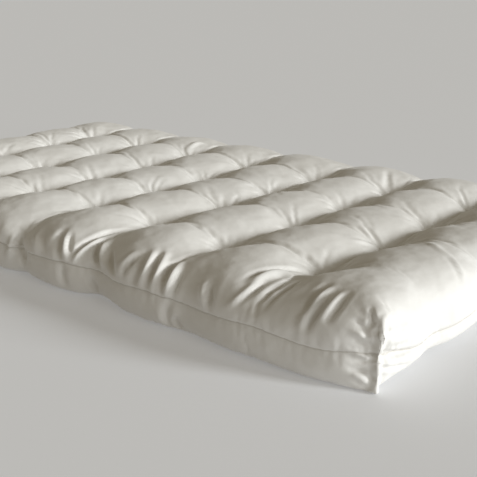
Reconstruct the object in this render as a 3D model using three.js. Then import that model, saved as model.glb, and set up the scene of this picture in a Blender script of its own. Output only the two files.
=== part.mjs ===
// A tufted crib mattress lying flat: a cotton casing round a thick filling. The casing
// is two boxed panels that meet in one seam round the sides, at about mid height.
// Twenty-eight tufts pull its faces together, and the filling rises between them in
// rolls that run across the width, deep where two rolls meet and deepest at each tuft.
// The weight of the mattress presses the underside flat between its tufts.
//
// Both faces are one net of quads, whose lines run through the tufts and, in the
// margins, out to the outline. Each face rounds down to the seam at its rim.
import * as THREE from "three";
import { mergeVertices } from "three/addons/utils/BufferGeometryUtils.js";

// Plan at the seam from corner to corner, in millimetres: X is the length.
const LENGTH = 1320;
const WIDTH = 694;
const SIDE_SWELL = { longSide: 31, end: 24, run: 75 }; // how far they stand out past a corner's run
const SIDE_PINCH = { depth: 13, reach: 36 }; // how a line of tufts draws a side in
const NEAR_SIDE_BOW = { height: 10, middle: -130, reach: 330 }; // fullest stretch of the -Y side
const NEAR_SIDE_PINCHES = [ // where its folds gather, a little off the lines of tufts
  { x: 388, depth: 14, reach: 28 },
  { x: 185, depth: 24, reach: 36 },
  { x: 2, depth: 12, reach: 32 },
  { x: -174, depth: 12, reach: 36 },
  { x: -342, depth: 14, reach: 36 },
  { x: -514, depth: 12, reach: 36 },
];

// Heights above the surface that the mattress lies on.
const SEAM_HEIGHT = 49;
const CREST_HEIGHT = 99; // of the rolls, at the middle
const CREST_RISE_TO_END = 11; // the filling is fuller towards the +X end
const CREST_RISE_TO_SIDE = -7; // and thinner towards the +Y side

// The even lattice of tufts, and how far each hand-sewn tuft strays from it as [x, y].
const ROW_PITCH = 169.6;
const COLUMN_PITCH = 140.4;
const LATTICE_SHIFT = -6.9; // of the middle row from the middle of the length
const TUFT_STRAY = [
  { near: [-9, -5], nearMiddle: [1, 4], farMiddle: [3, 0], far: [-6, 8] },
  { near: [-11, -12], nearMiddle: [4, -4], farMiddle: [3, 0], far: [3, 2] },
  { near: [-7, 1], nearMiddle: [6, 10], farMiddle: [7, -7], far: [8, -14] },
  { near: [0, 8], nearMiddle: [4, -1], farMiddle: [10, -10], far: [-9, -2] },
  { near: [4, 2], nearMiddle: [11, -10], farMiddle: [5, -4], far: [-10, 8] },
  { near: [0, 4], nearMiddle: [9, -8], farMiddle: [-5, 4], far: [-11, 8] },
  { near: [-4, 0], nearMiddle: [5, -3], farMiddle: [-1, 9], far: [-9, 8] },
];
const COLUMN_NAMES = ["near", "nearMiddle", "farMiddle", "far"];
const ROWS = TUFT_STRAY.length;
const COLUMNS = COLUMN_NAMES.length;

// Pull of the stitching: its depth at a tuft, and as shares of that the depth of a row's
// valley halfway between two tufts, of a column's faint trough there, and of the valley
// where it fades out at the side. A lower power makes a sharper valley.
const TOP_PULL = {
  depth: 43,
  valleyShare: 0.58,
  troughShare: 0.1,
  sideShare: 0.6,
  rowPower: 0.8,
  columnPower: 0.6,
};
const UNDER_PULL = {
  depth: 35,
  valleyShare: 0.55,
  troughShare: 0.3,
  sideShare: 0.7,
  rowPower: 0.6,
  columnPower: 0.5,
};
const UNDER_PRESSED = 12; // depth of the underside's swell that is pressed flat

// Round of each face down to its foot: how far it reaches in from a long side, from the
// +X end, from the -X end and from a corner, the distance from a corner over which it
// opens out, and the power of its curve, where 2 is an ellipse.
const TOP_ROUND = { side: 140, nearEnd: 72, farEnd: 130, corner: 9, cornerRun: 60, power: 2.1 };
const UNDER_ROUND = { side: 24, nearEnd: 70, farEnd: 60, corner: 6, cornerRun: 50, power: 2.4 };

// The seam: a shallow groove between the feet of the two faces, which waves a little.
const SEAM_GROOVE = { depth: 3, halfWidth: 7 };
const SEAM_WAVE = { height: 3, lengthOnX: 195, lengthOnY: 295 };

// Lines of the net, as shares of the way from one tuft line to the next, and in a margin
// from its tuft line to the outline, where they crowd to follow the round.
const SHARES_BETWEEN_TUFTS = [0, 0.09, 0.25, 0.5, 0.75, 0.91];
const SHARES_IN_MARGIN = [0.09, 0.25, 0.41, 0.57, 0.71, 0.83, 0.915, 0.965, 0.99, 1];

const { clamp, lerp } = THREE.MathUtils;

// Even places of the rows along X, from the +X end, and of the columns along Y.
const rowPlace = (row) => LATTICE_SHIFT + ((ROWS - 1) / 2 - row) * ROW_PITCH;
const columnPlace = (column) => (column - (COLUMNS - 1) / 2) * COLUMN_PITCH;
const END_MARGIN = LENGTH / 2 - rowPlace(0);
const SIDE_MARGIN = WIDTH / 2 + columnPlace(0);

// Place of a tuft, as [x, y].
function tuftPlace(row, column) {
  const [strayX, strayY] = TUFT_STRAY[row][COLUMN_NAMES[column]];
  return [rowPlace(row) + strayX, columnPlace(column) + strayY];
}

const nearestOf = (value, count, placeOf) =>
  Math.min(...Array.from({ length: count }, (_, k) => Math.abs(value - placeOf(k))));

const bell = (distance, reach) => Math.exp(-((distance / reach) ** 2));

// How deep a side is drawn in at a distance from the nearest line of tufts that ends at it.
const pinchDepth = (toTuftLine) => SIDE_PINCH.depth * bell(toTuftLine, SIDE_PINCH.reach);

// How far a side stands out from the line between its corners.
const standOut = (swell, toCorner) => (1 - Math.exp(-toCorner / SIDE_SWELL.run)) * swell;

// Distance from the middle of the plan to an end at y, and to a long side at x.
function endDistance(y) {
  const swell = SIDE_SWELL.end - pinchDepth(nearestOf(y, COLUMNS, columnPlace));
  return LENGTH / 2 + standOut(swell, WIDTH / 2 - Math.abs(y));
}

function farSideSwell(x) {
  return SIDE_SWELL.longSide - pinchDepth(nearestOf(x, ROWS, rowPlace));
}

function nearSideSwell(x) {
  const bow = NEAR_SIDE_BOW.height * bell(x - NEAR_SIDE_BOW.middle, NEAR_SIDE_BOW.reach);
  const pinches = NEAR_SIDE_PINCHES.map((pinch) => pinch.depth * bell(x - pinch.x, pinch.reach));
  return SIDE_SWELL.longSide + bow - Math.max(...pinches);
}

function sideDistance(x, isNearSide) {
  const swell = isNearSide ? nearSideSwell(x) : farSideSwell(x);
  return WIDTH / 2 + standOut(swell, LENGTH / 2 - Math.abs(x));
}

// Lines of the net in one direction. Each lies a share of the way from a tuft line to the
// next one, or from an outermost one outward to the outline.
function netLines(count) {
  const lines = SHARES_IN_MARGIN.map((outward) => ({ line: 0, share: 0, outward })).reverse();
  for (let line = 0; line + 1 < count; line++) {
    SHARES_BETWEEN_TUFTS.forEach((share) => lines.push({ line, share, outward: 0 }));
  }
  [0, ...SHARES_IN_MARGIN].forEach((outward) => lines.push({ line: count - 1, share: 0, outward }));
  return lines;
}

const rowLines = netLines(ROWS);
const columnLines = netLines(COLUMNS);

// A value at a net line, between those at its two tuft lines, or in a margin at its own.
function alongLattice({ line, share }, valueAt) {
  return share ? lerp(valueAt(line), valueAt(line + 1), share) : valueAt(line);
}

// One coordinate of a net point, from that of the tuft lines and of the outline here.
function coordinate(netLine, valueAt, outline) {
  const place = alongLattice(netLine, valueAt);
  return lerp(place, Math.sign(place) * outline, netLine.outward);
}

// A net point in the plan, with its distances in from the nearer end and long side.
function planPoint(rowLine, columnLine) {
  const evenX = coordinate(rowLine, rowPlace, LENGTH / 2);
  const evenY = coordinate(columnLine, columnPlace, WIDTH / 2);
  const end = endDistance(evenY);
  const side = sideDistance(evenX, evenY < 0);
  const xOfRow = (row) => alongLattice(columnLine, (column) => tuftPlace(row, column)[0]);
  const yOfColumn = (column) => alongLattice(rowLine, (row) => tuftPlace(row, column)[1]);
  const x = coordinate(rowLine, xOfRow, end);
  const y = coordinate(columnLine, yOfColumn, side);
  return { x, y, fromEnd: end - Math.abs(x), fromSide: side - Math.abs(y) };
}

// Share of the pull at a net line: 1 on a tuft line and 0 halfway to the next one, or as
// far out in a margin.
function pullShare({ share, outward }, pitch, margin, power) {
  const turn = share + Math.min((outward * margin) / pitch, 0.5);
  return 1 - Math.pow(Math.sin(Math.PI * turn), power);
}

// Depth that the stitching pulls a face in at a net point.
function pullDepth(rowLine, columnLine, pull) {
  const across = pullShare(rowLine, ROW_PITCH, END_MARGIN, pull.rowPower);
  const along = pullShare(columnLine, COLUMN_PITCH, SIDE_MARGIN, pull.columnPower);
  const valley = lerp(pull.valleyShare, 1, along) * lerp(1, pull.sideShare, columnLine.outward);
  return pull.depth * lerp(pull.troughShare * along, valley, across);
}

// Share of a face's height at a distance in from one side: 0 at the side, 1 past the reach.
function roundShare(distance, toCorner, reach, round) {
  const corner = Math.exp(-toCorner / round.cornerRun);
  const rest = 1 - clamp(distance / lerp(reach, round.corner, corner), 0, 1);
  return Math.pow(1 - Math.pow(rest, round.power), 1 / round.power);
}

function faceShare({ x, fromEnd, fromSide }, round) {
  const atEnd = roundShare(fromEnd, fromSide, x > 0 ? round.nearEnd : round.farEnd, round);
  const atSide = roundShare(fromSide, fromEnd, round.side, round);
  return atEnd * atSide;
}

// Height of the seam, which rises and falls a little along the sides.
function seamHeight({ x, y }) {
  const turn = 2 * Math.PI * (x / SEAM_WAVE.lengthOnX + y / SEAM_WAVE.lengthOnY);
  return SEAM_HEIGHT + SEAM_WAVE.height * Math.sin(turn);
}

function topPoint(rowLine, columnLine) {
  const place = planPoint(rowLine, columnLine);
  const riseToEnd = (CREST_RISE_TO_END * 2 * place.x) / LENGTH;
  const riseToSide = (CREST_RISE_TO_SIDE * 2 * place.y) / WIDTH;
  const crest = CREST_HEIGHT + riseToEnd + riseToSide;
  const face = crest - pullDepth(rowLine, columnLine, TOP_PULL) * (crest / CREST_HEIGHT);
  const foot = seamHeight(place) + SEAM_GROOVE.halfWidth;
  return new THREE.Vector3(place.x, place.y, lerp(foot, face, faceShare(place, TOP_ROUND)));
}

function underPoint(rowLine, columnLine) {
  const place = planPoint(rowLine, columnLine);
  const face = Math.max(0, pullDepth(rowLine, columnLine, UNDER_PULL) - UNDER_PRESSED);
  const foot = seamHeight(place) - SEAM_GROOVE.halfWidth;
  return new THREE.Vector3(place.x, place.y, lerp(foot, face, faceShare(place, UNDER_ROUND)));
}

function seamPoint(rowLine, columnLine) {
  const place = planPoint(rowLine, columnLine);
  const drawnIn = (value, halfSpan) => value * (1 - SEAM_GROOVE.depth / halfSpan);
  return new THREE.Vector3(
    drawnIn(place.x, LENGTH / 2),
    drawnIn(place.y, WIDTH / 2),
    seamHeight(place),
  );
}

// The rim of the net, once round, as [row line, column line] numbers.
function rimNumbers() {
  const lastRow = rowLines.length - 1;
  const lastColumn = columnLines.length - 1;
  const rim = [];
  for (let i = 0; i < lastRow; i++) rim.push([i, 0]);
  for (let j = 0; j < lastColumn; j++) rim.push([lastRow, j]);
  for (let i = lastRow; i > 0; i--) rim.push([i, lastColumn]);
  for (let j = lastColumn; j > 0; j--) rim.push([0, j]);
  return rim;
}

// The closed casing: both faces on the one net, and the seam's groove between their feet.
function casingGeometry() {
  const positions = [];
  const indices = [];
  const addPoint = (point) => positions.push(point.x, point.y, point.z) / 3 - 1;
  const addQuad = (a, b, c, d) => indices.push(a, b, c, a, c, d);

  const netOf = (pointAt) =>
    rowLines.map((rowLine) => columnLines.map((columnLine) => addPoint(pointAt(rowLine, columnLine))));
  const top = netOf(topPoint);
  const under = netOf(underPoint);
  for (let i = 0; i + 1 < rowLines.length; i++) {
    for (let j = 0; j + 1 < columnLines.length; j++) {
      addQuad(top[i][j], top[i][j + 1], top[i + 1][j + 1], top[i + 1][j]);
      addQuad(under[i][j], under[i + 1][j], under[i + 1][j + 1], under[i][j + 1]);
    }
  }

  const rim = rimNumbers();
  const seam = rim.map(([i, j]) => addPoint(seamPoint(rowLines[i], columnLines[j])));
  rim.forEach(([i, j], n) => {
    const next = (n + 1) % rim.length;
    const [nextI, nextJ] = rim[next];
    addQuad(top[i][j], top[nextI][nextJ], seam[next], seam[n]);
    addQuad(seam[n], seam[next], under[nextI][nextJ], under[i][j]);
  });

  const geometry = new THREE.BufferGeometry();
  geometry.setAttribute("position", new THREE.Float32BufferAttribute(positions, 3));
  geometry.setIndex(indices);
  return mergeVertices(geometry, 1e-3);
}

// Centres the plan on the origin. The underside already lies on z = 0.
function centred(geometry) {
  geometry.computeBoundingBox();
  const { min, max } = geometry.boundingBox;
  geometry.translate(-(min.x + max.x) / 2, -(min.y + max.y) / 2, 0);
  geometry.computeVertexNormals();
  return geometry;
}

const undyedCotton = new THREE.MeshStandardMaterial({ color: 0xe6e2d6, roughness: 0.7, metalness: 0 });

const mattress = new THREE.Mesh(centred(casingGeometry()), undyedCotton);
mattress.name = "mattress";

const part = new THREE.Group();
part.add(mattress);

export default part;
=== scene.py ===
"""Makes a flat, tufted crib mattress of undyed cotton around its CAD solid.

The casing starts as a finer copy of the solid. A short simulation of the filling's pressure
gives it the slack of a sewn cover. The main folds, the creases at the tufts, the seams and
their puckers are then pressed in along lines on it, and its lower half settles.
"""

import math
from collections import namedtuple
from types import SimpleNamespace

import bmesh
import bpy
import numpy as np
from bpy.props import FloatProperty, FloatVectorProperty, IntProperty, PointerProperty
from mathutils import Matrix, Vector
from mathutils.bvhtree import BVHTree


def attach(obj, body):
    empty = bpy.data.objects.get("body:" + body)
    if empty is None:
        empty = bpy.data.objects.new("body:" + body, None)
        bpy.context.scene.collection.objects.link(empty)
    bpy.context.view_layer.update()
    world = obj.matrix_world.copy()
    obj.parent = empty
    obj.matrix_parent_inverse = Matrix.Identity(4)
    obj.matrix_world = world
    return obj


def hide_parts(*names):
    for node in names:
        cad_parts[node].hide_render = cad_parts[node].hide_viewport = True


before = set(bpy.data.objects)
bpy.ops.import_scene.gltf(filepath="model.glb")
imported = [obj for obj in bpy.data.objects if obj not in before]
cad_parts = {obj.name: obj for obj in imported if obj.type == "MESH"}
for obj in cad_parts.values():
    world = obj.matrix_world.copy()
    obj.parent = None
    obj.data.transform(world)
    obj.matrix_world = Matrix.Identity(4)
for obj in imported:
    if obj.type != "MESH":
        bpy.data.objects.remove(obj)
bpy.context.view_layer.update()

bl_info = {
    "name": "Tufted crib mattress",
    "version": (1, 0, 0),
    "blender": (4, 5, 0),
    "location": "View3D > Sidebar > Mattress",
    "description": "Makes a flat, tufted cotton crib mattress around its CAD solid",
    "category": "Object",
}

MM = 0.001
PER_CENT = 100

# The even lattice of the tufts on the solid, and how far a tuft may stray from its place.
ROWS = 7
COLUMNS = 4
ROW_PITCH = 169.6 * MM
COLUMN_PITCH = 140.4 * MM
LATTICE_MIDDLE = (-6.9 * MM, 4.9 * MM)
TUFT_STRAY = 25 * MM

# Heights between which the only points of the solid are those of the seam round the sides.
SEAM_LOW = 45.5 * MM
SEAM_HIGH = 52.5 * MM

# The casing's mesh. Points of the solid closer than the first distance are one point.
MERGE_DISTANCE = 0.01 * MM
SUBDIVISIONS_BEFORE_CLOTH = 2
SUBDIVISIONS_AFTER_CLOTH = 1

# The cloth in the simulation.
CLOTH_FRAMES = 8
CLOTH_QUALITY = 3
CLOTH_MASS = 0.3
STRETCH_STIFFNESS = 15
SHEAR_STIFFNESS = 5
BENDING_STIFFNESS = 0.005
WEIGHT_STEPS = 20

# How far a point may move in it, and the share of the broad swell that is kept, because the
# solid has that swell already. The swell is what is left after so many rounds of smoothing.
LIMIT_OF_MOVE = 16 * MM
KEPT_SWELL = 0.15
SWELL_ROUNDS = 40

# Where the cloth is held: at its tufts, along its seam, and where it rests on the floor.
TUFT_HELD_RADIUS = 4 * MM
TUFT_HELD_FADE = 14 * MM
SEAM_HOLD = 0.9
SEAM_HELD_REACH = 5 * MM
RESTING_HEIGHT = 0.8 * MM

# Where the cloth has spare length: over the shoulders, which start this far from the middle
# along x and y, and in a ring round each tuft. The rim starts this many shoulder widths
# past them.
SHOULDER_START = (520 * MM, 210 * MM)
SHOULDER_WIDTH = 100 * MM
RIM_START = 1.2
RING_RADIUS = 30 * MM
RING_WIDTH = 30 * MM
RING_SHARE = 0.5

# The size of the slight hollows that loose filling leaves.
RUMPLE_SIZE = 45 * MM

# A line on the casing has this many points, and no step of it counts as shorter than this.
SAMPLES_OF_LINE = 16
LEAST_STEP = 0.001 * MM

# A bell, which fades with the distance from its middle, is left out past this many reaches.
BELL_END = 3

# A fold's profile in widths of the fold, the share of it that is furrow, and its fading ends.
FOLD_REACH = 3.5
FURROW_SHARE = 0.9
FOLD_END_MARGIN = 0.02
FOLD_FADE_POWER = 0.8

# The main folds of the near side, the near corner, the near end and the top. Each runs on the
# casing from a start through a middle to an end, as (x, y, z) in millimetres, and stands out
# by its rise; a furrow has a rise below zero.
Fold = namedtuple("Fold", "start through end width rise")
FOLDS = (
    # By the fifth tuft of the near side
    Fold((-16, -350, 76), (-9, -370, 57), (13, -370, 25), 12, -10),
    Fold((-17, -353, 75), (-20, -375, 55), (-30, -376, 31), 9, 7),
    Fold((23, -354, 78), (45, -373, 69), (50, -375, 49), 9, 4),
    Fold((38, -347, 86), (64, -371, 74), (75, -379, 56), 9, -4),
    # By the fourth tuft
    Fold((80, -336, 94), (100, -369, 77), (114, -377, 47), 10, -8),
    Fold((113, -375, 50), (114, -377, 38), (117, -372, 16), 10, -6),
    Fold((90, -340, 92), (108, -363, 80), (122, -374, 55), 7, 5),
    Fold((97, -340, 92), (116, -360, 81), (131, -371, 66), 6, -4),
    # By the third tuft
    Fold((151, -269, 85), (139, -333, 84), (132, -372, 62), 6, -6),
    Fold((148, -304, 85), (142, -352, 76), (133, -370, 48), 5, 4),
    Fold((151, -307, 83), (163, -341, 73), (184, -356, 55), 9, -8),
    Fold((152, -301, 83), (174, -341, 74), (196, -358, 55), 9, 8),
    Fold((187, -333, 81), (206, -354, 72), (235, -372, 59), 8, -7),
    Fold((268, -339, 92), (257, -362, 80), (251, -375, 56), 4, -3),
    Fold((254, -336, 94), (244, -361, 80), (244, -374, 59), 9, 5),
    Fold((269, -339, 92), (280, -365, 77), (271, -372, 50), 9, -6),
    Fold((274, -323, 96), (290, -357, 82), (289, -373, 54), 8, 5),
    Fold((283, -322, 95), (302, -354, 81), (303, -372, 50), 8, -6),
    # By the second tuft
    Fold((288, -314, 96), (310, -352, 81), (314, -371, 51), 8, 6),
    Fold((317, -320, 85), (325, -349, 79), (334, -372, 57), 7, -6),
    Fold((325, -317, 85), (339, -354, 78), (339, -368, 49), 7, 6),
    Fold((345, -337, 85), (351, -359, 72), (346, -365, 49), 7, -5),
    Fold((347, -366, 51), (340, -370, 31), (341, -361, 7), 9, -7),
    Fold((409, -346, 87), (417, -363, 73), (422, -367, 50), 9, -7),
    Fold((394, -346, 85), (405, -362, 72), (415, -368, 54), 9, 5),
    # By the first tuft
    Fold((487, -228, 80), (465, -282, 99), (448, -335, 93), 5, -4),
    Fold((529, -277, 102), (476, -285, 96), (463, -340, 89), 8, 6),
    Fold((470, -315, 94), (467, -351, 84), (451, -370, 65), 7, 4),
    Fold((474, -308, 95), (474, -340, 87), (461, -366, 73), 7, -5),
    Fold((491, -261, 86), (488, -310, 89), (487, -350, 80), 7, 4),
    Fold((516, -289, 97), (512, -326, 90), (507, -360, 75), 6, -4),
    Fold((567, -295, 108), (564, -325, 99), (567, -353, 80), 8, -5),
    Fold((578, -304, 107), (570, -333, 96), (568, -362, 63), 7, 6),
    Fold((590, -320, 103), (581, -345, 88), (574, -361, 62), 6, -6),
    Fold((606, -310, 109), (605, -333, 98), (601, -349, 82), 6, -5),
    Fold((597, -310, 108), (594, -332, 98), (590, -353, 78), 6, 4),
    # At the near corner
    Fold((630, -340, 94), (647, -343, 85), (660, -342, 59), 5, -3),
    Fold((642, -322, 108), (651, -336, 98), (655, -342, 81), 5, -5),
    Fold((661, -338, 71), (648, -345, 76), (632, -347, 82), 5, 3),
    Fold((662, -337, 59), (651, -345, 64), (635, -350, 67), 5, -3),
    Fold((661, -337, 46), (646, -344, 49), (628, -351, 54), 6, 3),
    Fold((660, -339, 35), (648, -346, 34), (631, -351, 36), 5, -3),
    Fold((659, -339, 21), (650, -345, 25), (636, -349, 29), 6, 3),
    Fold((665, -319, 78), (668, -303, 77), (670, -274, 79), 5, -4),
    Fold((665, -323, 68), (670, -302, 66), (673, -273, 66), 5, 3),
    Fold((664, -327, 57), (667, -301, 50), (672, -269, 48), 5, -4),
    Fold((663, -331, 40), (668, -307, 33), (672, -273, 28), 5, -4),
    # Under the seam
    Fold((161, -358, 40), (164, -356, 29), (170, -350, 14), 9, -6),
    Fold((349, -367, 29), (354, -364, 22), (359, -358, 11), 8, -5),
    # On the top and over the near end
    Fold((470, -108, 96), (482, -83, 88), (495, -55, 73), 6, 3),
    Fold((271, 305, 92), (303, 251, 88), (322, 229, 76), 8, -3),
    Fold((575, -76, 106), (632, -113, 108), (674, -137, 84), 7, 3),
    Fold((604, -93, 110), (642, -122, 106), (670, -142, 87), 6, -3),
    Fold((-215, 229, 72), (-225, 272, 82), (-213, 286, 79), 8, 4),
)

# The seam round the sides, and the puckers that cross it. Only points this far out, as a
# share of the way to the seam, belong to the sides.
SEAM_HALF_WIDTH = 2.4 * MM
# The seam's line gets painted shade over this half width.
SEAM_SHADE_HALF_WIDTH = 0.8 * MM
SIDES_START = 0.9
PUCKER_PITCH = 13 * MM
PUCKER_REACH = 11 * MM
PUCKER_WIDTH = 3.2 * MM

# The ranges of the draws for one pucker, as shares of the pitch, depth, width and reach.
PUCKER_DRAWS = {
    "place": (-0.35, 0.35),
    "depth": (0.2, 1.0),
    "width": (0.7, 1.4),
    "reach": (0.5, 1.5),
    "lean": (-0.4, 0.4),
}

# The corners' upright seams: how far each height of a corner is pulled outward along x and
# inward along y as it is sewn, in millimetres, which rounds the long side's end into it.
CornerStation = namedtuple("CornerStation", "height outward_x inward_y")
CORNER_STATIONS = (
    CornerStation(1, 7, 4),
    CornerStation(25, 3, 11),
    CornerStation(50, 2, 14),
    CornerStation(80, 5, 16),
    CornerStation(106, 9, 12),
)
CORNER_TOP = CORNER_STATIONS[-1].height
CORNER_PULL_REACH = 31 * MM
CORNER_SEAM_DROP = 6 * MM
CORNER_DROP_REACH = 21 * MM

# The ridge of a corner seam, with a furrow to each side, in widths of the ridge. Of this many
# parts of its height, it fades out over the top one.
CORNER_RIDGE_WIDTH = 3.4 * MM
CORNER_RIDGE_REACH = 30 * MM
CORNER_RIDGE_POWER = 1.5
CORNER_FURROW_SHARE = 0.3
CORNER_FURROW_PLACE = 2.4
CORNER_FURROW_SPREAD = 1.2
CORNER_FADE_PARTS = 6

# The puckers across a corner seam, and the ranges of the draws for one of them.
CORNER_PUCKERS = 9
CORNER_PUCKER_REACH = 20 * MM
CORNER_PUCKER_DRAWS = {
    "place": (0.2, 0.8),
    "lean": (-0.5, 0.5),
    "rise": (-1.0, 1.0),
    "reach": (0.6, 1.3),
    "width": (0.8, 1.6),
}

# How the lower half settles on the floor, and how the seam sags along the +X end.
SETTLE_POWER = 1.35
END_SEAM_DROP = 10 * MM
END_DROP_REACH = 30 * MM
END_DROP_FADE = 45 * MM
END_START = 40 * MM
END_RAMP = 30 * MM

# The hollow at a tuft, and the height of the tufts of the lower face, in millimetres.
TUFT_HOLLOW_REACH = 24 * MM
LOWER_TUFT_HEIGHT = 8

# The creases that fan out from a tuft, up to the fan's angle to each side of its row. They
# start this far from the tuft, in millimetres, and the outermost are shorter by this share.
CREASES_A_SIDE = 7
CREASE_FAN = math.radians(68)
CREASE_START = 3
CREASE_SHORTENING = 0.4

# The ranges of the draws for one crease: its length and width in millimetres, the rest shares.
CREASE_DRAWS = {
    "place": (0.1, 0.9),
    "length": (45, 115),
    "bend": (-0.1, 0.3),
    "width": (2.8, 5.0),
    "depth": (0.45, 1.0),
}

# A crease's profile in widths of the crease, with a low lip beside it, and its fading ends.
CREASE_REACH = 4
CREASE_POWER = 1.4
CREASE_LIP_SHARE = 0.35
CREASE_LIP_PLACE = 1.9
CREASE_FADE_POWER = 0.7
CREASE_DEPTH_AT_START = 0.3
CREASE_DEEPENING = 8

# The cotton's finish. Scales are repeats to a metre.
TONE_SCALE = 7
TONE_DETAIL = 5
WEAVE_DETAIL = 2
WEAVE_STRENGTH = 0.3
WEAVE_DEPTH = 0.15 * MM
SLUB_SCALE = 45
SLUB_DETAIL = 6
SLUB_STRENGTH = 0.5
SLUB_DEPTH = 2 * MM
ROUGHNESS_SPREAD = 0.06
SHEEN_ROUGHNESS = 0.4
COTTON_SPECULAR = 0.3

# The floor, which lies a hair under the mattress.
FLOOR_SIZE = 400.0
FLOOR_DROP = 0.2 * MM
FLOOR_ROUGHNESS = 0.9
FLOOR_SPECULAR = 0.1
WHITE = (1, 1, 1, 1)

# The weak light along the near side.
SIDE_BEARING = math.radians(-6)
SIDE_HEIGHT = math.radians(18)
SIDE_SPREAD = math.radians(25)

# The camera of the photograph, in the part's frame.
CAMERA_PLACE = (1.1656, -1.1368, 0.5131)
CAMERA_BEARING = math.radians(41.886)
CAMERA_HEIGHT = math.radians(18.514)
CAMERA_ROLL = math.radians(-0.77)
CAMERA_LENS = 65.85
CAMERA_NEAR = 10 * MM
SENSOR_WIDTH = 36


# Reading and moving the points of a mesh


def read_points(mesh):
    values = np.empty(len(mesh.vertices) * 3, np.float32)
    mesh.vertices.foreach_get("co", values)
    return values.reshape(-1, 3).astype(float)


def write_points(mesh, points):
    mesh.vertices.foreach_set("co", points.astype(np.float32).ravel())
    mesh.update()


def read_normals(mesh):
    values = np.empty(len(mesh.vertices) * 3, np.float32)
    mesh.vertex_normals.foreach_get("vector", values)
    return values.reshape(-1, 3).astype(float)


def read_edges(mesh):
    values = np.empty(len(mesh.edges) * 2, np.int32)
    mesh.edges.foreach_get("vertices", values)
    return values.reshape(-1, 2)


def smoothed(values, edges, rounds):
    """Values at the points of a mesh, each averaged with its neighbours' round after round."""
    count = len(values)
    ends = np.concatenate([edges[:, 0], edges[:, 1]])
    others = np.concatenate([edges[:, 1], edges[:, 0]])
    neighbours = np.bincount(ends, minlength=count)[:, None]
    for _ in range(rounds):
        sums = [np.bincount(ends, values[others, axis], count) for axis in range(3)]
        values = (values + np.stack(sums, axis=1) / neighbours) / 2
    return values


def bell(distance, reach):
    """One at no distance, and almost nothing at twice the reach."""
    return np.exp(-((distance / reach) ** 2))


def draw_from(random, ranges):
    """One draw from each named range, in the order of the table."""
    return SimpleNamespace(**{name: random.uniform(*ends) for name, ends in ranges.items()})


# The casing's mesh


def copy_of_solid(node, name):
    """A new object with the solid's mesh, merged and made of quads, and its points."""
    mesh = bpy.data.meshes.new(name)
    shape = bmesh.new()
    shape.from_mesh(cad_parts[node].data)
    bmesh.ops.remove_doubles(shape, verts=shape.verts, dist=MERGE_DISTANCE)
    bmesh.ops.join_triangles(
        shape,
        faces=shape.faces,
        angle_face_threshold=math.pi,
        angle_shape_threshold=math.pi,
    )
    shape.to_mesh(mesh)
    shape.free()
    mesh.materials.clear()
    piece = bpy.data.objects.new(name, mesh)
    bpy.context.scene.collection.objects.link(piece)
    return piece, read_points(mesh)


def subdivide(piece, levels):
    rounding = piece.modifiers.new("Rounding", "SUBSURF")
    rounding.levels = rounding.render_levels = levels
    bpy.context.view_layer.objects.active = piece
    bpy.ops.object.modifier_apply(modifier=rounding.name)


def find_tufts(points):
    """The lowest point of the upper face round each place of the lattice."""
    upper = points[points[:, 2] > SEAM_HIGH]
    middle = np.array(LATTICE_MIDDLE)
    tufts = []
    for row in range(ROWS):
        for column in range(COLUMNS):
            step = np.array([(ROWS - 1) / 2 - row, column - (COLUMNS - 1) / 2])
            place = middle + step * (ROW_PITCH, COLUMN_PITCH)
            away = np.hypot(*(upper[:, :2] - place).T)
            near = upper[away < TUFT_STRAY]
            tufts.append(near[np.argmin(near[:, 2])])
    return np.array(tufts)


class Seam:
    """The seam round the sides, which gives its height and its run at any bearing."""

    def __init__(self, points):
        found = points[(points[:, 2] > SEAM_LOW) & (points[:, 2] < SEAM_HIGH)]
        self.spans = np.abs(found[:, :2]).max(axis=0)
        found = found[np.argsort(self.bearing(found))]
        steps = np.linalg.norm(np.roll(found, -1, axis=0) - found, axis=1)
        self.bearings = self.bearing(found)
        self.heights = found[:, 2]
        self.runs = np.concatenate([[0], np.cumsum(steps[:-1])])
        self.length = steps.sum()
        signs = np.array([(1, -1), (1, 1), (-1, 1), (-1, -1)])
        self.corners = [found[np.argmax(found[:, :2] @ sign)] for sign in signs]

    def bearing(self, points):
        """The bearings from the middle, on a plan that is stretched to a square."""
        return np.arctan2(points[:, 1] / self.spans[1], points[:, 0] / self.spans[0])

    def height_at(self, points):
        return np.interp(self.bearing(points), self.bearings, self.heights, period=2 * math.pi)

    def run_at(self, points):
        """The distances along the seam to the bearings of the points."""
        return np.interp(self.bearing(points), self.bearings, self.runs)


# The slack of the sewn cover, by simulation


def paint_group(piece, name, weights):
    """A vertex group with these weights, rounded to a few even steps."""
    group = piece.vertex_groups.new(name=name)
    steps = np.round(weights * WEIGHT_STEPS).astype(int)
    for step in range(1, WEIGHT_STEPS + 1):
        group.add(np.nonzero(steps == step)[0].tolist(), step / WEIGHT_STEPS, "REPLACE")
    return group.name


def held_and_spare(points, tufts, seam):
    """How firmly the stitches and the floor hold each point, and its share of spare cloth."""
    to_tuft = np.min([np.hypot(*(points[:, :2] - tuft[:2]).T) for tuft in tufts], axis=0)
    from_seam = np.abs(points[:, 2] - seam.height_at(points))
    start_x, start_y = SHOULDER_START
    past_start = np.maximum(np.abs(points[:, 0]) - start_x, np.abs(points[:, 1]) - start_y)
    outward = past_start / SHOULDER_WIDTH
    sewn = (outward > RIM_START) & (from_seam < SEAM_HELD_REACH)
    held = np.clip(1 - (to_tuft - TUFT_HELD_RADIUS) / TUFT_HELD_FADE, 0, 1)
    held = np.maximum(held, SEAM_HOLD * sewn)
    held = np.maximum(held, points[:, 2] < RESTING_HEIGHT)
    spare = np.clip(outward, 0, 1) + RING_SHARE * bell(to_tuft - RING_RADIUS, RING_WIDTH)
    return held, np.clip(spare, 0, 1)


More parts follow.
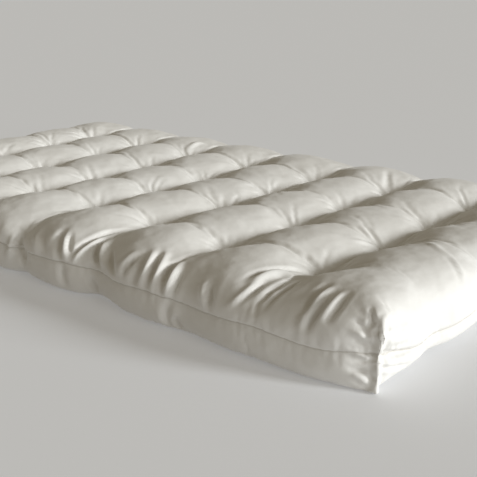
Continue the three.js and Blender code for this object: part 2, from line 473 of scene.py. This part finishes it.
def press_out(piece, held, spare, settings):
    """The moves of the casing's points as the filling presses it out, by cloth simulation."""
    slack = piece.modifiers.new("Slack", "CLOTH")
    cloth = slack.settings
    cloth.quality = CLOTH_QUALITY
    cloth.mass = CLOTH_MASS
    cloth.tension_stiffness = cloth.compression_stiffness = STRETCH_STIFFNESS
    cloth.shear_stiffness = SHEAR_STIFFNESS
    cloth.bending_stiffness = BENDING_STIFFNESS
    cloth.use_pressure = True
    cloth.uniform_pressure_force = settings.pressure
    cloth.vertex_group_mass = paint_group(piece, "stitched", held)
    cloth.vertex_group_shrink = paint_group(piece, "spare_cloth", spare)
    cloth.shrink_min = -settings.spare_on_top / PER_CENT
    cloth.shrink_max = -settings.spare_at_sides / PER_CENT
    cloth.effector_weights.gravity = 0
    slack.point_cache.frame_start = 1
    slack.point_cache.frame_end = CLOTH_FRAMES
    for number in range(1, CLOTH_FRAMES + 1):
        bpy.context.scene.frame_set(number)
    pressed = piece.evaluated_get(bpy.context.evaluated_depsgraph_get())
    moves = read_points(pressed.data) - read_points(piece.data)
    piece.modifiers.remove(slack)
    piece.vertex_groups.clear()
    bpy.context.scene.frame_set(1)
    return moves


def give_slack(piece, tufts, seam, settings):
    """Lets the filling press the casing out, and keeps the slack without the broad swell."""
    points = read_points(piece.data)
    held, spare = held_and_spare(points, tufts, seam)
    moves = press_out(piece, held, spare, settings)
    lengths = np.linalg.norm(moves, axis=1, keepdims=True)
    moves *= LIMIT_OF_MOVE / np.maximum(lengths, LIMIT_OF_MOVE)
    swell = smoothed(moves, read_edges(piece.data), SWELL_ROUNDS)
    write_points(piece.data, points + moves - (1 - KEPT_SWELL) * swell)


def rumple(piece, settings):
    """Slight uneven hollows and swells, as loose filling leaves them."""
    clouds = bpy.data.textures.new("rumple", "CLOUDS")
    clouds.noise_scale = RUMPLE_SIZE
    rumpled = piece.modifiers.new("Rumple", "DISPLACE")
    rumpled.texture = clouds
    rumpled.texture_coords = "LOCAL"
    rumpled.strength = settings.rumple
    bpy.context.view_layer.objects.active = piece
    bpy.ops.object.modifier_apply(modifier=rumpled.name)


# Folds and seams, pressed into the casing along lines on it


class Casing:
    """The casing's fine mesh while its folds and seams are pressed in."""

    def __init__(self, piece):
        self.mesh = piece.data
        self.points = read_points(self.mesh)
        self.refresh()

    def refresh(self):
        """Writes the points back, and reads the surface that the next folds lie on."""
        write_points(self.mesh, self.points)
        self.normals = read_normals(self.mesh)
        shape = bmesh.new()
        shape.from_mesh(self.mesh)
        self.surface = BVHTree.FromBMesh(shape)
        shape.free()

    def push(self, chosen, rise):
        """Moves the chosen points out along their normals, or in where the rise is below zero."""
        self.points[chosen] += self.normals[chosen] * rise[:, None]


def smooth_line(start, through, end):
    """Points of a curve from start to end that passes through a point halfway."""
    start, through, end = (np.array(place, float) * MM for place in (start, through, end))
    control = 2 * through - (start + end) / 2
    share = np.linspace(0, 1, SAMPLES_OF_LINE)[:, None]
    return (1 - share) ** 2 * start + 2 * share * (1 - share) * control + share**2 * end


def laid_on(surface, line):
    """The points of a line, each moved to the nearest place on a surface."""
    return np.array([surface.find_nearest(Vector(point))[0] for point in line])


def along_line(points, line):
    """Distance from a line, and share of the way along it, of each point."""
    distance = np.full(len(points), np.inf)
    share = np.zeros(len(points))
    count = len(line) - 1
    for number in range(count):
        from_start = points - line[number]
        step = line[number + 1] - line[number]
        along = np.clip(from_start @ step / max(step @ step, LEAST_STEP**2), 0, 1)
        away = np.linalg.norm(from_start - along[:, None] * step, axis=1)
        closer = away < distance
        distance[closer] = away[closer]
        share[closer] = (number + along[closer]) / count
    return distance, share


def near_line(points, line, reach):
    """Which points lie in the box round a line, grown by a reach."""
    low = line.min(axis=0) - reach
    high = line.max(axis=0) + reach
    return np.nonzero(np.all((points > low) & (points < high), axis=1))[0]


def raise_fold(casing, fold):
    """A fold on the casing, with a furrow on each side, that fades out at both ends."""
    line = laid_on(casing.surface, smooth_line(fold.start, fold.through, fold.end))
    width = fold.width * MM
    chosen = near_line(casing.points, line, FOLD_REACH * width)
    distance, share = along_line(casing.points[chosen], line)
    across = distance / width
    profile = (1 - FURROW_SHARE * across**2) * np.exp(-(across**2))
    share = np.clip(share, FOLD_END_MARGIN, 1 - FOLD_END_MARGIN)
    fade = np.sin(np.pi * share) ** FOLD_FADE_POWER
    casing.push(chosen, fold.rise * MM * profile * fade)


def press_crease(casing, line, width, depth):
    """A sharp crease along a line, deepest near its start, that fades out at its end."""
    chosen = near_line(casing.points, line, CREASE_REACH * width)
    distance, share = along_line(casing.points[chosen], line)
    across = distance / width
    lip = CREASE_LIP_SHARE * np.exp(-((across - CREASE_LIP_PLACE) ** 2))
    profile = np.exp(-(across**CREASE_POWER)) - lip
    deepening = np.clip(share * CREASE_DEEPENING + CREASE_DEPTH_AT_START, 0, 1)
    fade = (1 - share) ** CREASE_FADE_POWER * deepening
    casing.push(chosen, -depth * profile * fade)


def press_tuft(casing, tuft, is_upper, settings, random):
    """A tight hollow at a tuft, and creases that fan out from it over the rolls beside it."""
    height = tuft[2] / MM if is_upper else LOWER_TUFT_HEIGHT
    centre = np.array([tuft[0], tuft[1], height * MM])
    chosen = near_line(casing.points, centre[None, :], BELL_END * TUFT_HOLLOW_REACH)
    hollow = bell(np.linalg.norm(casing.points[chosen] - centre, axis=1), TUFT_HOLLOW_REACH)
    casing.push(chosen, -settings.tuft_hollow * hollow)
    for side in (-1, 1):
        for number in range(CREASES_A_SIDE):
            drawn = draw_from(random, CREASE_DRAWS)
            turn = 2 * (number + drawn.place) / CREASES_A_SIDE - 1
            bearing = CREASE_FAN * turn
            length = drawn.length * (1 - CREASE_SHORTENING * abs(turn))
            bend = drawn.bend * math.copysign(1, turn)
            toward = side * np.array([math.cos(bearing), math.sin(bearing)])
            sideways = np.array([-toward[1], toward[0]])
            start = tuft[:2] / MM + CREASE_START * toward
            through = start + length * (toward - bend * sideways) / 2
            end = start + length * toward
            stations = [(*place, height) for place in (start, through, end)]
            line = laid_on(casing.surface, smooth_line(*stations))
            press_crease(casing, line, drawn.width * MM, drawn.depth * settings.tuft_crease)


def pull_corner(casing, corner):
    """Moves the casing near a corner to where its seam lies, and gives that seam's line."""
    heights, outward_x, inward_y = np.array(CORNER_STATIONS).T * MM
    sign_x, sign_y = np.sign(corner[:2])
    weight = bell(np.hypot(*(casing.points[:, :2] - corner[:2]).T), CORNER_PULL_REACH)
    height = casing.points[:, 2]
    seam_drop = CORNER_SEAM_DROP * weight * bell(height - corner[2], CORNER_DROP_REACH)
    casing.points[:, 0] += sign_x * weight * np.interp(height, heights, outward_x)
    casing.points[:, 1] -= sign_y * weight * np.interp(height, heights, inward_y)
    casing.points[:, 2] -= seam_drop
    line_x = corner[0] + sign_x * outward_x
    line_y = corner[1] - sign_y * inward_y
    return np.stack([line_x, line_y, heights], axis=1)


def press_corner(casing, line, settings, random):
    """An upright corner seam: a pinched ridge with furrows beside it and puckers across it."""
    line = laid_on(casing.surface, line)
    chosen = near_line(casing.points, line, CORNER_RIDGE_REACH)
    distance, share = along_line(casing.points[chosen], line)
    across = distance / CORNER_RIDGE_WIDTH
    furrow = np.exp(-((across - CORNER_FURROW_PLACE) ** 2) / CORNER_FURROW_SPREAD)
    profile = np.exp(-(across**CORNER_RIDGE_POWER)) - CORNER_FURROW_SHARE * furrow
    fade = np.clip((1 - share) * CORNER_FADE_PARTS, 0, 1)
    rise = settings.corner_ridge * profile * fade
    height = casing.points[chosen, 2]
    for number in range(CORNER_PUCKERS):
        drawn = draw_from(random, CORNER_PUCKER_DRAWS)
        place = (number + drawn.place) / CORNER_PUCKERS * CORNER_TOP * MM
        off_line = height - place - drawn.lean * distance
        pucker = bell(off_line, drawn.width * CORNER_RIDGE_WIDTH)
        fade = bell(distance, drawn.reach * CORNER_PUCKER_REACH)
        rise += drawn.rise * settings.corner_pucker * pucker * fade
    casing.push(chosen, rise)


def press_seam(casing, seam, settings, random):
    """The groove of the seam round the sides and its puckers, and the mask of painted shade along
    its line.
    """
    points = casing.points
    rise = points[:, 2] - seam.height_at(points)
    outward = np.maximum(
        np.abs(points[:, 0]) / seam.spans[0], np.abs(points[:, 1]) / seam.spans[1]
    )
    rim = np.nonzero((np.abs(rise) < BELL_END * PUCKER_REACH) & (outward > SIDES_START))[0]
    rise = rise[rim]
    run = seam.run_at(points[rim])
    depth = settings.seam_depth * bell(rise, SEAM_HALF_WIDTH)
    for number in range(int(seam.length / PUCKER_PITCH)):
        drawn = draw_from(random, PUCKER_DRAWS)
        place = (number + drawn.place) * PUCKER_PITCH
        pucker = bell(run - place - drawn.lean * rise, drawn.width * PUCKER_WIDTH)
        fade = bell(rise, drawn.reach * PUCKER_REACH)
        depth += drawn.depth * settings.pucker_depth * pucker * fade
    casing.push(rim, -depth)
    # Painted shade: a thin band along the seam's line, which darkens the cotton there as the
    # shade in its groove would.
    seam_line = np.zeros(len(points))
    seam_line[rim] = bell(rise, SEAM_SHADE_HALF_WIDTH)
    return seam_line


def settle(casing, seam):
    """Rests the lower half on the surface, and lets the seam sag along the +X end."""
    points = casing.points
    seam_height = seam.height_at(points)
    corner = seam.corners[0]
    to_corner = np.maximum(abs(corner[1]) - np.abs(points[:, 1]), 0)
    at_end = np.clip((points[:, 0] - corner[0] + END_START) / END_RAMP, 0, 1)
    at_end *= 1 - np.exp(-to_corner / END_DROP_FADE)
    sag = END_SEAM_DROP * at_end
    points[:, 2] -= sag * bell(points[:, 2] - seam_height, END_DROP_REACH)
    low = np.clip(points[:, 2], 0, seam_height)
    power = SETTLE_POWER - (SETTLE_POWER - 1) * at_end
    points[:, 2] += seam_height * (low / seam_height) ** power - low
    points[:, 2] = np.maximum(points[:, 2], 0)


def sew_and_crease(piece, tufts, seam, settings):
    """Presses the folds, creases and seams into the casing, and marks on it where painted shade
    darkens the seam's line.
    """
    random = np.random.default_rng(settings.seed)
    casing = Casing(piece)
    corner_lines = [pull_corner(casing, corner) for corner in seam.corners]
    casing.refresh()
    for fold in FOLDS:
        raise_fold(casing, fold)
    for is_upper in (True, False):
        for tuft in tufts:
            press_tuft(casing, tuft, is_upper, settings, random)
    for line in corner_lines:
        press_corner(casing, line, settings, random)
    casing.refresh()
    seam_line = press_seam(casing, seam, settings, random)
    settle(casing, seam)
    write_points(piece.data, casing.points)
    # The seam's painted shade is kept as an attribute that the material reads.
    attribute = piece.data.attributes.new("seam_line", "FLOAT", "POINT")
    attribute.data.foreach_set("value", seam_line.astype(np.float32))


# Materials


def add_noise(tree, place, scale, detail):
    """An even noise on the piece's own coordinates."""
    noise = tree.nodes.new("ShaderNodeTexNoise")
    noise.inputs["Scale"].default_value = scale
    noise.inputs["Detail"].default_value = detail
    tree.links.new(place.outputs["Object"], noise.inputs["Vector"])
    return noise.outputs["Fac"]


def add_relief(tree, height, strength, depth):
    relief = tree.nodes.new("ShaderNodeBump")
    relief.inputs["Strength"].default_value = strength
    relief.inputs["Distance"].default_value = depth
    tree.links.new(height, relief.inputs["Height"])
    return relief


def cotton_colour(tree, tone, settings):
    """The cotton, a little uneven in tone, with painted shade along the seam's line."""
    tint = tree.nodes.new("ShaderNodeMix")
    tint.data_type = "RGBA"
    tint.inputs["A"].default_value = (*settings.cotton, 1)
    tint.inputs["B"].default_value = (*settings.cotton_shade, 1)
    tree.links.new(tone, tint.inputs["Factor"])
    # Painted shade: the cotton is mixed towards a darker colour along the seam's line.
    seam_line = tree.nodes.new("ShaderNodeAttribute")
    seam_line.attribute_name = "seam_line"
    sewn = tree.nodes.new("ShaderNodeMix")
    sewn.data_type = "RGBA"
    sewn.inputs["B"].default_value = (*settings.seam_shade_colour, 1)
    tree.links.new(seam_line.outputs["Fac"], sewn.inputs["Factor"])
    tree.links.new(tint.outputs["Result"], sewn.inputs["A"])
    return sewn.outputs["Result"]


def cotton_roughness(tree, tone, settings):
    """The cotton's roughness, a little uneven with its tone."""
    gloss = tree.nodes.new("ShaderNodeMapRange")
    gloss.inputs["To Min"].default_value = settings.roughness - ROUGHNESS_SPREAD
    gloss.inputs["To Max"].default_value = settings.roughness + ROUGHNESS_SPREAD
    tree.links.new(tone, gloss.inputs["Value"])
    return gloss.outputs["Result"]


def cotton_relief(tree, place, settings):
    """The weave's threads on top of the uneven lumps of the yarn."""
    weave = add_noise(tree, place, 1 / settings.weave_pitch, WEAVE_DETAIL)
    slub = add_noise(tree, place, SLUB_SCALE, SLUB_DETAIL)
    lumps = add_relief(tree, slub, SLUB_STRENGTH, SLUB_DEPTH)
    threads = add_relief(tree, weave, WEAVE_STRENGTH, WEAVE_DEPTH)
    tree.links.new(lumps.outputs["Normal"], threads.inputs["Normal"])
    return threads.outputs["Normal"]


def cotton_material(settings):
    """Undyed cotton sateen: a fine weave, slight unevenness and painted shade along the seam
    lines.
    """
    material = bpy.data.materials.new("undyed_cotton")
    material.use_nodes = True
    tree = material.node_tree
    cloth = tree.nodes["Principled BSDF"]
    cloth.inputs["Sheen Weight"].default_value = settings.sheen
    cloth.inputs["Sheen Roughness"].default_value = SHEEN_ROUGHNESS
    cloth.inputs["Specular IOR Level"].default_value = COTTON_SPECULAR
    place = tree.nodes.new("ShaderNodeTexCoord")
    tone = add_noise(tree, place, TONE_SCALE, TONE_DETAIL)
    tree.links.new(cotton_colour(tree, tone, settings), cloth.inputs["Base Color"])
    tree.links.new(cotton_roughness(tree, tone, settings), cloth.inputs["Roughness"])
    tree.links.new(cotton_relief(tree, place, settings), cloth.inputs["Normal"])
    return material


def floor_material(settings):
    material = bpy.data.materials.new("studio_floor")
    material.use_nodes = True
    paper = material.node_tree.nodes["Principled BSDF"]
    paper.inputs["Base Color"].default_value = (*settings.floor_colour, 1)
    paper.inputs["Roughness"].default_value = FLOOR_ROUGHNESS
    paper.inputs["Specular IOR Level"].default_value = FLOOR_SPECULAR
    paper.inputs["Emission Color"].default_value = WHITE
    paper.inputs["Emission Strength"].default_value = settings.floor_glow
    return material


# The stage


def make_floor(settings):
    """A plain floor that reaches past every view."""
    mesh = bpy.data.meshes.new("floor")
    shape = bmesh.new()
    bmesh.ops.create_grid(shape, x_segments=1, y_segments=1, size=FLOOR_SIZE / 2)
    bmesh.ops.translate(shape, verts=shape.verts, vec=(0, 0, -FLOOR_DROP))
    shape.to_mesh(mesh)
    shape.free()
    mesh.materials.append(floor_material(settings))
    floor = bpy.data.objects.new("floor", mesh)
    bpy.context.scene.collection.objects.link(floor)
    return floor


def make_sky(settings):
    """The soft light from all round, which fills the shadows."""
    world = bpy.data.worlds.new("fill")
    world.use_nodes = True
    fill = world.node_tree.nodes["Background"]
    fill.inputs["Color"].default_value = (*settings.sky_colour, 1)
    fill.inputs["Strength"].default_value = settings.sky_strength
    return world


def add_light(name, colour, strength, bearing, height, spread):
    """A distant light from a bearing, turned from +X towards +Y, at a height as an angle."""
    sun = bpy.data.lights.new(name, "SUN")
    sun.color = colour
    sun.energy = strength
    sun.angle = spread
    light = bpy.data.objects.new(name, sun)
    bpy.context.scene.collection.objects.link(light)
    level = math.cos(height)
    source = Vector((math.cos(bearing) * level, math.sin(bearing) * level, math.sin(height)))
    light.rotation_euler = source.to_track_quat("Z", "Y").to_euler()


def add_camera():
    camera = bpy.data.objects.new("camera", bpy.data.cameras.new("camera"))
    bpy.context.scene.collection.objects.link(camera)
    camera.data.lens = CAMERA_LENS
    camera.data.sensor_width = SENSOR_WIDTH
    camera.data.clip_start = CAMERA_NEAR
    upright = Matrix.Rotation(math.pi / 2 - CAMERA_HEIGHT, 4, "X")
    rolled = Matrix.Rotation(CAMERA_ROLL, 4, "Z")
    turned = Matrix.Rotation(CAMERA_BEARING, 4, "Z")
    camera.matrix_world = Matrix.Translation(CAMERA_PLACE) @ turned @ upright @ rolled
    bpy.context.scene.camera = camera


# Settings


class CasingSettings(bpy.types.PropertyGroup):
    """Sizes and colours of the casing."""

    pressure: FloatProperty(
        name="Pressure",
        description="How hard the filling presses the casing out in the simulation",
        default=150,
        min=0,
    )
    spare_on_top: FloatProperty(
        name="Spare cloth on top",
        description="Spare length of the cloth on the faces",
        default=1.0,
        subtype="PERCENTAGE",
    )
    spare_at_sides: FloatProperty(
        name="Spare cloth at the sides",
        description="Spare length of the cloth over the shoulders and the sides",
        default=2.8,
        subtype="PERCENTAGE",
    )
    rumple: FloatProperty(
        name="Rumple",
        description="Depth of the slight hollows that loose filling leaves",
        default=4.0 * MM,
        unit="LENGTH",
        precision=4,
    )
    seam_depth: FloatProperty(
        name="Seam depth",
        description="Depth of the groove of the seam round the sides",
        default=1.8 * MM,
        unit="LENGTH",
        precision=4,
    )
    pucker_depth: FloatProperty(
        name="Pucker depth",
        description="Greatest depth of the puckers that cross the seam",
        default=0.9 * MM,
        unit="LENGTH",
        precision=4,
    )
    corner_ridge: FloatProperty(
        name="Corner ridge",
        description="Height of the pinched ridge of a corner seam",
        default=4.2 * MM,
        unit="LENGTH",
        precision=4,
    )
    corner_pucker: FloatProperty(
        name="Corner pucker",
        description="Greatest rise or depth of the puckers across a corner seam",
        default=3.6 * MM,
        unit="LENGTH",
        precision=4,
    )
    tuft_hollow: FloatProperty(
        name="Tuft hollow",
        description="Depth of the tight hollow at a tuft, past that of the solid",
        default=6.0 * MM,
        unit="LENGTH",
        precision=4,
    )
    tuft_crease: FloatProperty(
        name="Tuft crease",
        description="Depth of the creases that radiate from a tuft",
        default=3.8 * MM,
        unit="LENGTH",
        precision=4,
    )
    seed: IntProperty(
        name="Seed",
        description="Starts the draws of the small creases and puckers",
        default=7,
    )
    cotton: FloatVectorProperty(
        name="Cotton",
        description="Colour of the undyed cotton",
        default=(0.81, 0.80, 0.775),
        subtype="COLOR",
        size=3,
    )
    cotton_shade: FloatVectorProperty(
        name="Cotton shade",
        description="Colour of the cotton where it is a little darker",
        default=(0.77, 0.75, 0.71),
        subtype="COLOR",
        size=3,
    )
    # Painted shade along the seam's line, mixed into the cotton's colour.
    seam_shade_colour: FloatVectorProperty(
        name="Seam line",
        description="Colour of the cotton in the line of a seam",
        default=(0.56, 0.53, 0.48),
        subtype="COLOR",
        size=3,
    )
    roughness: FloatProperty(
        name="Roughness",
        description="Roughness of the sateen weave",
        default=0.56,
        subtype="FACTOR",
        min=0.1,
        max=0.9,
    )
    sheen: FloatProperty(
        name="Sheen",
        description="Soft sheen of the cotton's fibres",
        default=0.15,
        subtype="FACTOR",
        min=0,
        max=1,
    )
    weave_pitch: FloatProperty(
        name="Weave pitch",
        description="Distance between two threads of the weave",
        default=0.8 * MM,
        unit="LENGTH",
        precision=4,
    )


class StudioSettings(bpy.types.PropertyGroup):
    """The floor and the lights."""

    floor_colour: FloatVectorProperty(
        name="Floor",
        description="Colour of the pale floor",
        default=(0.70, 0.705, 0.72),
        subtype="COLOR",
        size=3,
    )
    floor_glow: FloatProperty(
        name="Floor glow",
        description="Light of the floor itself, which thins the shadows on it",
        default=0.14,
    )
    key_colour: FloatVectorProperty(
        name="Key colour",
        description="Colour of the key light and of the weak light beside it",
        default=(0.95, 0.98, 1.0),
        subtype="COLOR",
        size=3,
    )
    key_bearing: FloatProperty(
        name="Key bearing",
        description="Turn of the key light from +X towards +Y",
        default=math.radians(21),
        subtype="ANGLE",
    )
    key_height: FloatProperty(
        name="Key height",
        description="Angle of the key light above the floor",
        default=math.radians(15.5),
        subtype="ANGLE",
    )
    key_spread: FloatProperty(
        name="Key spread",
        description="Angle that the key light covers, which softens its shadows",
        default=math.radians(14),
        subtype="ANGLE",
    )
    key_strength: FloatProperty(
        name="Key strength",
        description="Strength of the key light",
        default=2.95,
    )
    side_strength: FloatProperty(
        name="Side strength",
        description="Strength of the weak light that shapes the long side",
        default=0.75,
    )
    sky_colour: FloatVectorProperty(
        name="Fill colour",
        description="Colour of the soft light from all round",
        default=(1.0, 0.88, 0.66),
        subtype="COLOR",
        size=3,
    )
    sky_strength: FloatProperty(
        name="Fill strength",
        description="Strength of the soft light from all round",
        default=0.21,
    )


# The add-on's operators and panel


class CRIB_OT_casing(bpy.types.Operator):
    """Makes the filled cotton casing with its folds, tufts and seams"""

    bl_idname = "crib.casing"
    bl_label = "Casing"

    def execute(self, context):
        settings = context.scene.crib_casing
        piece, solid_points = copy_of_solid("mattress", "mattress_casing")
        tufts = find_tufts(solid_points)
        seam = Seam(solid_points)
        subdivide(piece, SUBDIVISIONS_BEFORE_CLOTH)
        give_slack(piece, tufts, seam, settings)
        subdivide(piece, SUBDIVISIONS_AFTER_CLOTH)
        rumple(piece, settings)
        sew_and_crease(piece, tufts, seam, settings)
        piece.data.shade_smooth()
        piece.data.materials.append(cotton_material(settings))
        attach(piece, "root")
        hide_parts("mattress")
        return {"FINISHED"}


class CRIB_OT_stage(bpy.types.Operator):
    """Makes the pale floor, the lights and the camera"""

    bl_idname = "crib.stage"
    bl_label = "Stage"

    def execute(self, context):
        settings = context.scene.crib_studio
        floor = make_floor(settings)
        context.scene.world = make_sky(settings)
        context.scene.view_settings.view_transform = "Standard"
        add_light(
            "key",
            settings.key_colour,
            settings.key_strength,
            settings.key_bearing,
            settings.key_height,
            settings.key_spread,
        )
        add_light(
            "side",
            settings.key_colour,
            settings.side_strength,
            SIDE_BEARING,
            SIDE_HEIGHT,
            SIDE_SPREAD,
        )
        add_camera()
        return {"FINISHED"}


class CRIB_PT_panel(bpy.types.Panel):
    """Lists the pieces of the mattress and their settings"""

    bl_idname = "CRIB_PT_panel"
    bl_label = "Crib mattress"
    bl_space_type = "VIEW_3D"
    bl_region_type = "UI"
    bl_category = "Mattress"

    def draw(self, context):
        layout = self.layout
        for operator, settings in (
            (CRIB_OT_casing, context.scene.crib_casing),
            (CRIB_OT_stage, context.scene.crib_studio),
        ):
            layout.operator(operator.bl_idname)
            for name in settings.__annotations__:
                layout.prop(settings, name)


CLASSES = (CasingSettings, StudioSettings, CRIB_OT_casing, CRIB_OT_stage, CRIB_PT_panel)


def register():
    for made in CLASSES:
        bpy.utils.register_class(made)
    bpy.types.Scene.crib_casing = PointerProperty(type=CasingSettings)
    bpy.types.Scene.crib_studio = PointerProperty(type=StudioSettings)


def unregister():
    del bpy.types.Scene.crib_studio
    del bpy.types.Scene.crib_casing
    for made in reversed(CLASSES):
        bpy.utils.unregister_class(made)


def main():
    register()
    bpy.ops.crib.casing()
    bpy.ops.crib.stage()


if __name__ == "__main__":
    main()
